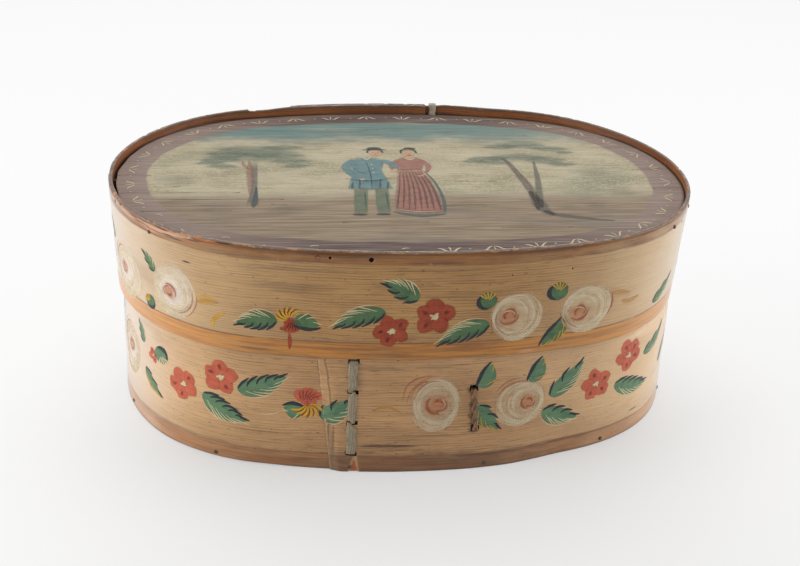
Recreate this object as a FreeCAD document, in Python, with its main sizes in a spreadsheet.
import FreeCAD, Part
import math
import os
from FreeCAD import Placement, Rotation, Vector

# Painted oval box of bent wood with a lift-off lid.
# +X runs along the length, -Y is the front, +Z is up, millimetres.
# The origin is the centre of the underside. Each wall is one thin strip, bent round
# until its ends lap, and the lap is sewn with split strips of root. Oval boards are
# pegged into the lower edge of the box and into the upper edge of the lid.

doc = FreeCAD.newDocument("bent_oval_box")

# Every size is a cell of this sheet.
sizes = {
    # lid, outside, measured at its upper rim
    "lidLength": 481.0,
    "lidWidth": 324.0,
    "lidSideBow": 10.5,         # a long side's middle stands out this far past its ends
    "lidFlare": 3.3,            # the rim stands out this far beyond the lower edge
    "lidBandHeight": 91.0,
    "lidWall": 3.2,
    "lidBoardThick": 7.2,
    "rimRise": 6.0,             # rim above the sunk lid board
    # box
    "bodyHeight": 179.0,
    "bodyFlare": 4.0,           # the foot stands out this far beyond the box's rim
    "bodyWall": 3.0,
    "bottomThick": 9.0,
    # fits
    "lapGap": 0.2,              # between the two layers of a lap
    "lidClearance": 0.5,        # lid to box where they are closest
    "seatGap": 0.3,             # lid board above the box's rim
    "boardFit": 0.2,            # board edge to wall
    # lap of the box, at the front: where the strip's two ends lie along X
    "bodyLapFoot": -68.0,       # outer end at the underside
    "bodyLapHead": -89.0,       # outer end at the top, so the end is cut on a slant
    "bodyLapInner": 57.0,
    "bodyJog": 52.0,            # length over which the outer layer steps out
    "bodySkive": 9.0,           # length of the thinned outer end
    "bodySkiveThick": 1.1,
    # lap of the lid, at the back
    "lidLapOuter": -87.0,
    "lidLapInner": 41.0,
    "lidJog": 52.0,
    "lidSkive": 9.0,
    "lidSkiveThick": 1.2,
    "jogStart": 12.0,           # the step starts this far past the inner end
    # sewing strips
    "laceWidth": 6.6,
    "laceThick": 1.0,
    "laceFit": 0.15,
    "laceTail": 4.0,
    "laceInset": 26.0,          # from the lap's outer end to the box's strips
    "bodyLaceLow": 16.8,        # lowest slot above the underside
    "bodyLaceHead": 3.4,        # highest slot below the lid's edge
    "lidLaceInset": 23.0,
    "lidLaceHead": 7.8,         # highest slot below the lid board
    "lidLacePitch": 18.5,
    "rimLacePast": 7.0,         # rim binding past the lid strip's inner end
    "rimLaceDrop": 27.0,        # its slot below the rim
    "rootInset": 14.5,          # root stitch before the box strip's inner end
    "rootWidth": 3.2,
    "rootLow": 30.0,            # lower slot above the underside
    "rootHead": 24.6,           # upper slot below the lid's edge
    # wooden pegs
    "pegRadius": 1.7,
    "pegFit": 0.05,
    "pegLength": 20.0,
    "pegProud": 0.8,
    "bodyPegCount": 12,
    "lidPegCount": 12,
}
sheet = doc.addObject("Spreadsheet::Sheet", "sizes")
for row, (alias, number) in enumerate(sizes.items(), start=1):
    sheet.set("A%d" % row, alias)
    sheet.set("B%d" % row, str(number))
    sheet.setAlias("B%d" % row, alias)
doc.recompute()


def size(alias):
    return float(sheet.get(alias))


def cell(alias):
    return "<<sizes>>." + alias


up = Vector(0, 0, 1)
front = 1
back = -1


class Oval:
    """Four tangent arcs: two round ends and two long flat sides.

    The front half and the back half may stand apart by a short straight split.
    """

    def __init__(self, halfLength, halfWidth, endRadius, centreY=0.0, split=0.0):
        self.halfLength = halfLength
        self.halfWidth = halfWidth
        self.endRadius = endRadius
        self.centreY = centreY
        self.split = split
        self.endX = halfLength - endRadius
        reach = halfWidth - split / 2
        across = reach - endRadius
        self.sideRadius = (self.endX ** 2 + reach ** 2 - endRadius ** 2) / (2 * across)
        self.sideY = self.sideRadius - reach
        self.join = math.atan2(self.endX, self.sideY)   # where a side meets an end

    def offset(self, distance):
        return Oval(self.halfLength + distance, self.halfWidth + distance,
                    self.endRadius + distance, self.centreY, self.split)

    def sideCentre(self, side):
        return Vector(0, self.centreY + side * (self.sideY - self.split / 2), 0)

    def endCentre(self, end, side):
        return Vector(end * self.endX, self.centreY - side * self.split / 2, 0)

    def tip(self, end, side, out=0.0):
        return self.endCentre(end, side) + Vector(end * (self.endRadius + out), 0, 0)

    def turn(self, x):
        # angle along a side arc for a place given by its distance from the middle
        return math.asin(x / self.sideRadius)

    def normal(self, turn, side):
        return Vector(math.sin(turn), -side * math.cos(turn), 0)

    def onSide(self, turn, side, out=0.0):
        return self.sideCentre(side) + self.normal(turn, side) * (self.sideRadius + out)

    def along(self, share):
        # place and outward direction at a share of the way round, from the front's middle
        sideLength = self.sideRadius * self.join
        quarter = sideLength + self.endRadius * (math.pi / 2 - self.join)
        sector = int(4 * share % 4)
        walk = (4 * share % 4 - sector) * quarter
        if sector % 2:
            walk = quarter - walk
        side = front if sector in (0, 3) else back
        hand = 1 if sector in (0, 1) else -1
        if walk < sideLength:
            outward = self.normal(hand * walk / self.sideRadius, side)
            return self.sideCentre(side) + outward * self.sideRadius, outward
        outward = self.normal(hand * (self.join + (walk - sideLength) / self.endRadius), side)
        return self.endCentre(hand, side) + outward * self.endRadius, outward


lidStep = size("lidWall") + size("lapGap")
bodyStep = size("bodyWall") + size("lapGap")

lidBoardLow = size("bodyHeight") + size("seatGap")
rimTop = lidBoardLow + size("lidBoardThick") + size("rimRise")
lidLow = rimTop - size("lidBandHeight")
lidSlope = size("lidFlare") / size("lidBandHeight")
bodySlope = size("bodyFlare") / size("bodyHeight")

# The lap thickens the lid at the back, so the lid's own centre lies half a step
# forward. The lap of the box is at the front, and the lid's halves stand apart by
# its thickness, so the lid clears the box by the same amount all the way round.
halfWidth = size("lidWidth") / 2
rimOval = Oval(size("lidLength") / 2, halfWidth, halfWidth - bodyStep / 2 - size("lidSideBow"),
               -lidStep / 2, bodyStep)
skirtOval = rimOval.offset(-size("lidFlare"))
boxInset = size("lidWall") + size("lidClearance")
boxAtSkirt = Oval(skirtOval.halfLength - boxInset, skirtOval.halfWidth - boxInset - bodyStep / 2,
                  skirtOval.endRadius - boxInset, (bodyStep - lidStep) / 2)
footOval = boxAtSkirt.offset(bodySlope * lidLow)
boxRimOval = footOval.offset(-size("bodyFlare"))


def originPlane(body, role):
    for feature in body.Origin.OriginFeatures:
        if feature.Role == role:
            return feature


def newSketch(body, name, role="XY_Plane", height=None):
    sketch = body.newObject("Sketcher::SketchObject", name)
    sketch.AttachmentSupport = [(originPlane(body, role), "")]
    sketch.MapMode = "FlatFace"
    if height:
        sketch.setExpression("AttachmentOffset.Base.z", height)
    return sketch


def arcBetween(centre, start, end, middle):
    # arc from start to end about centre, on the side where middle points
    radius = (start - centre).Length
    return Part.Arc(start, centre + middle * radius, end)


def sideArc(oval, side, turnA, turnB, out=0.0):
    return arcBetween(oval.sideCentre(side), oval.onSide(turnA, side, out),
                      oval.onSide(turnB, side, out), oval.normal((turnA + turnB) / 2, side))


def endArcs(oval, end, side, out=0.0):
    # round end, walked from the given side to the opposite one
    middle = (oval.join + math.pi / 2) / 2
    edges = [arcBetween(oval.endCentre(end, side), oval.onSide(end * oval.join, side, out),
                        oval.tip(end, side, out), oval.normal(end * middle, side))]
    if oval.split:
        edges.append(Part.LineSegment(oval.tip(end, side, out), oval.tip(end, -side, out)))
    edges.append(arcBetween(oval.endCentre(end, -side), oval.tip(end, -side, out),
                            oval.onSide(end * oval.join, -side, out),
                            oval.normal(end * middle, -side)))
    return edges


def jogCurve(oval, side, turnA, outA, turnB, outB):
    # smooth step from one offset of a side to another
    pointA = oval.onSide(turnA, side, outA)
    pointB = oval.onSide(turnB, side, outB)
    reach = (pointB - pointA).Length / 3
    sign = 1 if turnB > turnA else -1
    alongA = Vector(math.cos(turnA), side * math.sin(turnA), 0) * sign * reach
    alongB = Vector(math.cos(turnB), side * math.sin(turnB), 0) * sign * reach
    curve = Part.BezierCurve()
    curve.setPoles([pointA, pointA + alongA, pointB - alongB, pointB])
    return curve.toBSpline()


def drawOval(sketch, oval):
    sketch.addGeometry(
        [sideArc(oval, front, -oval.join, oval.join)] + endArcs(oval, 1, front)
        + [sideArc(oval, back, oval.join, -oval.join)] + endArcs(oval, -1, back))


def drawLappedStrip(sketch, oval, side, wall, lap):
    # One closed outline of a strip that starts at its inner end, runs once round the
    # oval, steps out by a wall and a gap, and ends on top of its own start.
    step = wall + size("lapGap")
    inner = oval.turn(lap["inner"])
    stepOut = oval.turn(lap["inner"] + size("jogStart"))
    stepIn = oval.turn(lap["inner"] + size("jogStart") + lap["jog"])
    outer = oval.turn(lap["outer"])
    thinned = oval.turn(lap["outer"] + lap["skive"])
    tip = step - wall + lap["tip"]
    join = oval.join

    def run(out, last):
        once = [sideArc(oval, side, inner, -join, out)]
        once += endArcs(oval, -1, side, out)
        once += [sideArc(oval, -side, -join, join, out)]
        once += endArcs(oval, 1, -side, out)
        once += [sideArc(oval, side, join, stepIn, out),
                 jogCurve(oval, side, stepIn, out, stepOut, out + step),
                 sideArc(oval, side, stepOut, last, out + step)]
        return once

    outside = run(0.0, thinned)
    inside = run(-wall, outer)
    ends = [
        Part.LineSegment(oval.onSide(thinned, side, step), oval.onSide(outer, side, tip)),
        Part.LineSegment(oval.onSide(outer, side, tip), oval.onSide(outer, side, step - wall)),
        Part.LineSegment(oval.onSide(inner, side, -wall), oval.onSide(inner, side, 0.0)),
    ]
    sketch.addGeometry(outside + [ends[0], ends[1]] + inside[::-1] + [ends[2]])


def bentStrip(name, side, wall, foot, head, footLap, headLap, low, high):
    # Strip between its lower outline and its upper outline.
    body = doc.addObject("PartDesign::Body", name)
    lower = newSketch(body, name + "_lower", height=low)
    drawLappedStrip(lower, foot, side, wall, footLap)
    upper = newSketch(body, name + "_upper", height=high)
    drawLappedStrip(upper, head, side, wall, headLap)
    doc.recompute()
    loft = body.newObject("PartDesign::AdditiveLoft", name + "_loft")
    loft.Profile = lower
    loft.Sections = [upper]
    loft.Ruled = True
    body.Tip = loft
    return body


def ovalBoard(name, oval, low, thick):
    body = doc.addObject("PartDesign::Body", name)
    sketch = newSketch(body, name + "_outline", height=low)
    drawOval(sketch, oval)
    pad = body.newObject("PartDesign::Pad", name + "_pad")
    pad.Profile = sketch
    pad.setExpression("Length", thick)
    body.Tip = pad
    return body


def wallFrame(oval, side, x, z, out=0.0, tilt=0.0):
    # frame on the outside of a wall: x outwards, y up the wall, z along it
    turn = oval.turn(x)
    outward = oval.normal(turn, side)
    upwards = outward * math.sin(tilt) + up * math.cos(tilt)
    across = outward * math.cos(tilt) - up * math.sin(tilt)
    place = oval.onSide(turn, side, out) + up * z
    return Placement(place, Rotation(across, upwards, across.cross(upwards), "XYZ"))


def ribbonOutline(path, thick):
    # Corners of a ribbon seen edge on, with the radius of each: a bend is round on its
    # outside and sharp on its inside. The path's runs are square to each other.
    half = thick / 2
    left, right = [], []
    for index, point in enumerate(path):
        before = (point - path[index - 1]).normalize() if index else None
        after = (path[index + 1] - point).normalize() if index + 1 < len(path) else None
        lines = [line for line in (before, after) if line]
        shift = Vector(0, 0, 0)
        for line in lines:
            shift += Vector(-line.y, line.x, 0) * half
        bend = before.cross(after).z if before and after else 0.0
        left.append((point + shift, thick if bend < 0 else 0.0))
        right.append((point - shift, thick if bend > 0 else 0.0))
    return left + right[::-1]


def drawRounded(sketch, corners):
    # closed outline of straight lines, with an arc at each corner that has a radius
    edges, ends = [], []
    count = len(corners)
    for index, (point, radius) in enumerate(corners):
        back1 = (corners[index - 1][0] - point).normalize() * radius
        ahead = (corners[(index + 1) % count][0] - point).normalize() * radius
        ends.append((point + back1, point + ahead))
        if radius:
            centre = point + back1 + ahead
            middle = (point - centre).normalize()
            edges.append(arcBetween(centre, point + back1, point + ahead, middle))
    for index in range(count):
        edges.append(Part.LineSegment(ends[index][1], ends[(index + 1) % count][0]))
    sketch.addGeometry(edges)


def stitchPath(levels, outsideFirst, wall, headTail, footTail):
    # Path of a strip that runs from slot to slot, outside and inside by turns.
    gap = size("laceFit") + size("laceThick") / 2
    outer, inner = gap, -wall - gap
    outside = outsideFirst
    path = []
    if headTail:
        path.append(Vector(inner, levels[0] + headTail, 0))
        path.append(Vector(inner, levels[0], 0))
    for above, below in zip(levels, levels[1:]):
        column = outer if outside else inner
        path.append(Vector(column, above, 0))
        path.append(Vector(column, below, 0))
        outside = not outside
    if footTail:
        path.append(Vector(inner, levels[-1], 0))
        path.append(Vector(inner, levels[-1] - footTail, 0))
    return path


def stitchRuns(path, width):
    # The second half of the strip's width lies only on the runs, clear of the slots.
    trim = size("laceThick") / 2 + size("laceFit")
    half = size("laceThick") / 2
    rectangles = []
    for start, end in zip(path, path[1:]):
        if abs(start.x - end.x) < half and abs(start.y - end.y) > 2 * trim + half:
            x = start.x
            high, low = max(start.y, end.y) - trim, min(start.y, end.y) + trim
            rectangles.append([Vector(x - half, low, 0), Vector(x + half, low, 0),
                               Vector(x + half, high, 0), Vector(x - half, high, 0)])
    return rectangles


def sewingStrip(name, path, hand, width, frame):
    # hand says which half of the strip's width goes through the slots
    body = doc.addObject("PartDesign::Body", name)
    whole = newSketch(body, name + "_path")
    drawRounded(whole, ribbonOutline(path, size("laceThick")))
    pad = body.newObject("PartDesign::Pad", name + "_threaded")
    pad.Profile = whole
    pad.setExpression("Length", width + " / 2")
    pad.Reversed = hand < 0
    doc.recompute()
    runs = newSketch(body, name + "_runs")
    for corners in stitchRuns(path, width):
        drawRounded(runs, [(corner, 0.0) for corner in corners])
    wide = body.newObject("PartDesign::Pad", name + "_flat")
    wide.Profile = runs
    wide.setExpression("Length", width + " / 2")
    wide.Reversed = hand > 0
    body.Tip = wide
    body.Placement = frame
    return body


def slotTool(name, frame, level, wall, width):
    # opening for a sewing strip, a little larger than the strip and through the wall
    fit = 2 * size("laceFit")
    reach = size("laceThick")
    tool = doc.addObject("Part::Box", name)
    tool.Length = wall + 2 * reach
    tool.setExpression("Width", "<<sizes>>.laceThick + 2 * <<sizes>>.laceFit")
    tool.setExpression("Height", "<<sizes>>.%s + 2 * <<sizes>>.laceFit" % width)
    high = size("laceThick") + fit
    wide = size(width) + fit
    corner = Vector(-wall - reach, level - high / 2, -wide / 2)
    tool.Placement = Placement(frame.multVec(corner), frame.Rotation)
    return tool


def pegSpots(oval, count, phase, z, side, lapOuter, lapInner, step):
    # outer ends and directions of round pegs spread evenly round the oval; on the lap
    # they are driven in through the outer layer
    spots = []
    for index in range(count):
        place, outward = oval.along((index + phase) / count)
        onLap = outward.y * side < 0 and lapOuter < place.x < lapInner
        out = size("pegProud") + (step if onLap else 0.0)
        spots.append((place + outward * out + up * z, outward))
    return spots


def pegRow(name, spots, radius):
    pegs = []
    for index, (start, outward) in enumerate(spots, start=1):
        peg = doc.addObject("Part::Cylinder", "%s_%d" % (name, index))
        peg.setExpression("Radius", radius)
        peg.setExpression("Height", cell("pegLength"))
        peg.Placement = Placement(start, Rotation(up, -outward))
        pegs.append(peg)
    return pegs


def group(name, members):
    compound = doc.addObject("Part::Compound", name)
    compound.Links = members
    return compound


def cutFrom(name, base, tool):
    cut = doc.addObject("Part::Cut", name)
    cut.Base = base
    cut.Tool = tool
    return cut


# Frames on the walls where the strips are sewn.
bodyLapWall = 2 * size("bodyWall") + size("lapGap")
lidLapWall = 2 * size("lidWall") + size("lapGap")
bodyLaceX = (size("bodyLapFoot") + size("bodyLapHead")) / 2 + size("laceInset")
rootX = size("bodyLapInner") - size("rootInset")
lidLaceX = size("lidLapOuter") + size("lidLaceInset")
rimLaceX = size("lidLapInner") + size("rimLacePast")
lidTilt = math.atan(lidSlope)
bodyTilt = -math.atan(bodySlope)
bodyLaceFrame = wallFrame(footOval, front, bodyLaceX, 0.0, bodyStep, bodyTilt)
rootFrame = wallFrame(footOval, front, rootX, 0.0, bodyStep, bodyTilt)
lidLaceFrame = wallFrame(rimOval, back, lidLaceX, rimTop, lidStep, lidTilt)
rimLaceFrame = wallFrame(rimOval, back, rimLaceX, rimTop, lidStep, lidTilt)

# Heights of the slots, highest first; those of the lid are measured from its rim.
bodyLaceHigh = lidLow - size("bodyLaceHead")
bodyLacePitch = (bodyLaceHigh - size("bodyLaceLow")) / 3
bodyLevels = [bodyLaceHigh - bodyLacePitch * step for step in (0, 1, 2, 3)]
lidLaceHigh = lidBoardLow - size("lidLaceHead") - rimTop
lidLevels = [lidLaceHigh - size("lidLacePitch") * step for step in (0, 1, 2)]
rootLevels = [lidLow - size("rootHead"), size("rootLow")]
rimLaceHigh = -size("laceThick") / 2


def makeBodyBand(pegHoles):
    footLap = {"inner": size("bodyLapInner"), "outer": size("bodyLapFoot"),
               "jog": size("bodyJog"), "skive": size("bodySkive"), "tip": size("bodySkiveThick")}
    headLap = dict(footLap, outer=size("bodyLapHead"))
    strip = bentStrip("body_strip", front, size("bodyWall"), footOval, boxRimOval,
                      footLap, headLap, None, cell("bodyHeight"))
    slots = [slotTool("body_slot_%d" % index, bodyLaceFrame, level, bodyLapWall, "laceWidth")
             for index, level in enumerate(bodyLevels, start=1)]
    slots += [slotTool("root_slot_%d" % index, rootFrame, level, bodyLapWall, "rootWidth")
              for index, level in enumerate(rootLevels, start=1)]
    return cutFrom("body_band", strip, group("body_openings", slots + pegHoles))


def makeLidBand(pegHoles):
    lap = {"inner": size("lidLapInner"), "outer": size("lidLapOuter"),
           "jog": size("lidJog"), "skive": size("lidSkive"), "tip": size("lidSkiveThick")}
    low = "%s + %s + %s + %s - %s" % (cell("bodyHeight"), cell("seatGap"), cell("lidBoardThick"),
                                      cell("rimRise"), cell("lidBandHeight"))
    high = low + " + " + cell("lidBandHeight")
    strip = bentStrip("lid_strip", back, size("lidWall"), skirtOval, rimOval, lap, lap, low, high)
    slots = [slotTool("lid_slot_%d" % index, lidLaceFrame, level, lidLapWall, "laceWidth")
             for index, level in enumerate(lidLevels, start=1)]
    slots.append(slotTool("rim_slot", rimLaceFrame, -size("rimLaceDrop"), size("lidWall"),
                          "laceWidth"))
    slots.append(slotTool("rim_notch", rimLaceFrame, rimLaceHigh, size("lidWall"), "laceWidth"))
    return cutFrom("lid_band", strip, group("lid_openings", slots + pegHoles))


def makeRimLace():
    # Binding that goes over the rim and back through one slot below it.
    gap = size("laceFit") + size("laceThick") / 2
    outer, inner = gap, -size("lidWall") - gap
    high, low = rimLaceHigh, -size("rimLaceDrop")
    path = [Vector(inner, low - size("laceTail"), 0), Vector(inner, high, 0),
            Vector(outer, high, 0), Vector(outer, low, 0),
            Vector(inner + size("laceThick") + size("laceFit"), low, 0)]
    body = doc.addObject("PartDesign::Body", "lid_lace_rim")
    sketch = newSketch(body, "lid_lace_rim_path")
    drawRounded(sketch, ribbonOutline(path, size("laceThick")))
    pad = body.newObject("PartDesign::Pad", "lid_lace_rim_pad")
    pad.Profile = sketch
    pad.setExpression("Length", cell("laceWidth"))
    pad.SideType = "Symmetric"
    body.Tip = pad
    body.Placement = rimLaceFrame
    return body


def makeRootLace():
    path = stitchPath(rootLevels, True, bodyLapWall, size("laceTail"), size("laceTail"))
    body = doc.addObject("PartDesign::Body", "body_lace_root")
    sketch = newSketch(body, "body_lace_root_path")
    drawRounded(sketch, ribbonOutline(path, size("laceThick")))
    pad = body.newObject("PartDesign::Pad", "body_lace_root_pad")
    pad.Profile = sketch
    pad.setExpression("Length", cell("rootWidth"))
    pad.SideType = "Symmetric"
    body.Tip = pad
    body.Placement = rootFrame
    return body


def makeLaces():
    tail = size("laceTail")
    shortened = [bodyLevels[0] - size("laceThick")] + bodyLevels[1:-1]
    shortened.append(bodyLevels[-1] + size("laceThick"))
    bodyFirst = stitchPath(bodyLevels, True, bodyLapWall, tail, tail)
    bodySecond = stitchPath(shortened, False, bodyLapWall, 0.0, 0.0)
    lidShort = [lidLevels[0] - size("laceThick")] + lidLevels[1:]
    lidFirst = stitchPath(lidLevels[:-1] + [lidLevels[-1] + size("laceThick")], True,
                          lidLapWall, tail, 0.0)
    lidSecond = stitchPath(lidShort, False, lidLapWall, 0.0, tail)
    width = cell("laceWidth")
    return [
        sewingStrip("body_lace_first", bodyFirst, 1, width, bodyLaceFrame),
        sewingStrip("body_lace_second", bodySecond, -1, width, bodyLaceFrame),
        sewingStrip("lid_lace_first", lidFirst, 1, width, lidLaceFrame),
        sewingStrip("lid_lace_second", lidSecond, -1, width, lidLaceFrame),
        makeRootLace(),
        makeRimLace(),
    ]


# Pegs: holes at the same spots, a little wider, go through the band into the board.
bodyPegZ = size("bottomThick") / 2
lidPegZ = lidBoardLow + size("lidBoardThick") / 2
bodySpots = pegSpots(footOval.offset(-bodySlope * bodyPegZ), int(size("bodyPegCount")), 0.5,
                     bodyPegZ, front, size("bodyLapFoot"), size("bodyLapInner"), bodyStep)
lidSpots = pegSpots(rimOval.offset(lidSlope * (lidPegZ - rimTop)), int(size("lidPegCount")), 0.0,
                    lidPegZ, back, size("lidLapOuter"), size("lidLapInner"), lidStep)
holeRadius = cell("pegRadius") + " + " + cell("pegFit")
bodyPegs = pegRow("bottom_peg", bodySpots, cell("pegRadius"))
bodyHoles = pegRow("bottom_peg_hole", bodySpots, holeRadius)
lidPegs = pegRow("lid_peg", lidSpots, cell("pegRadius"))
lidHoles = pegRow("lid_peg_hole", lidSpots, holeRadius)

# Boards fill the walls at the narrowest level of their thickness.
bottomOval = footOval.offset(-bodySlope * size("bottomThick") - size("bodyWall")
                             - size("boardFit"))
lidBoardOval = rimOval.offset(lidSlope * (lidBoardLow - rimTop) - size("lidWall")
                              - size("boardFit"))

parts = [
    makeBodyBand(bodyHoles),
    cutFrom("bottom_board", ovalBoard("bottom_blank", bottomOval, None, cell("bottomThick")),
            group("bottom_bores", bodyHoles)),
    group("bottom_pegs", bodyPegs),
    makeLidBand(lidHoles),
    cutFrom("lid_board", ovalBoard("lid_blank", lidBoardOval,
                                   cell("bodyHeight") + " + " + cell("seatGap"),
                                   cell("lidBoardThick")),
            group("lid_bores", lidHoles)),
    group("lid_pegs", lidPegs),
]
parts += makeLaces()
doc.recompute()

for item in doc.Objects:
    if "Invalid" in item.State or "Error" in item.State:
        raise RuntimeError("%s did not compute: %s" % (item.Label, item.State))
for item in parts:
    if item.Shape.isNull() or not item.Shape.isValid():
        raise RuntimeError("%s has no valid shape" % item.Label)

os.makedirs("parts", exist_ok=True)
for item in parts:
    item.Shape.exportStep("parts/%s.step" % item.Label)
    box = item.Shape.BoundBox
    print("%-18s solids %2d  volume %10.1f  x %.1f..%.1f  y %.1f..%.1f  z %.1f..%.1f" % (
        item.Label, len(item.Shape.Solids), item.Shape.Volume,
        box.XMin, box.XMax, box.YMin, box.YMax, box.ZMin, box.ZMax))
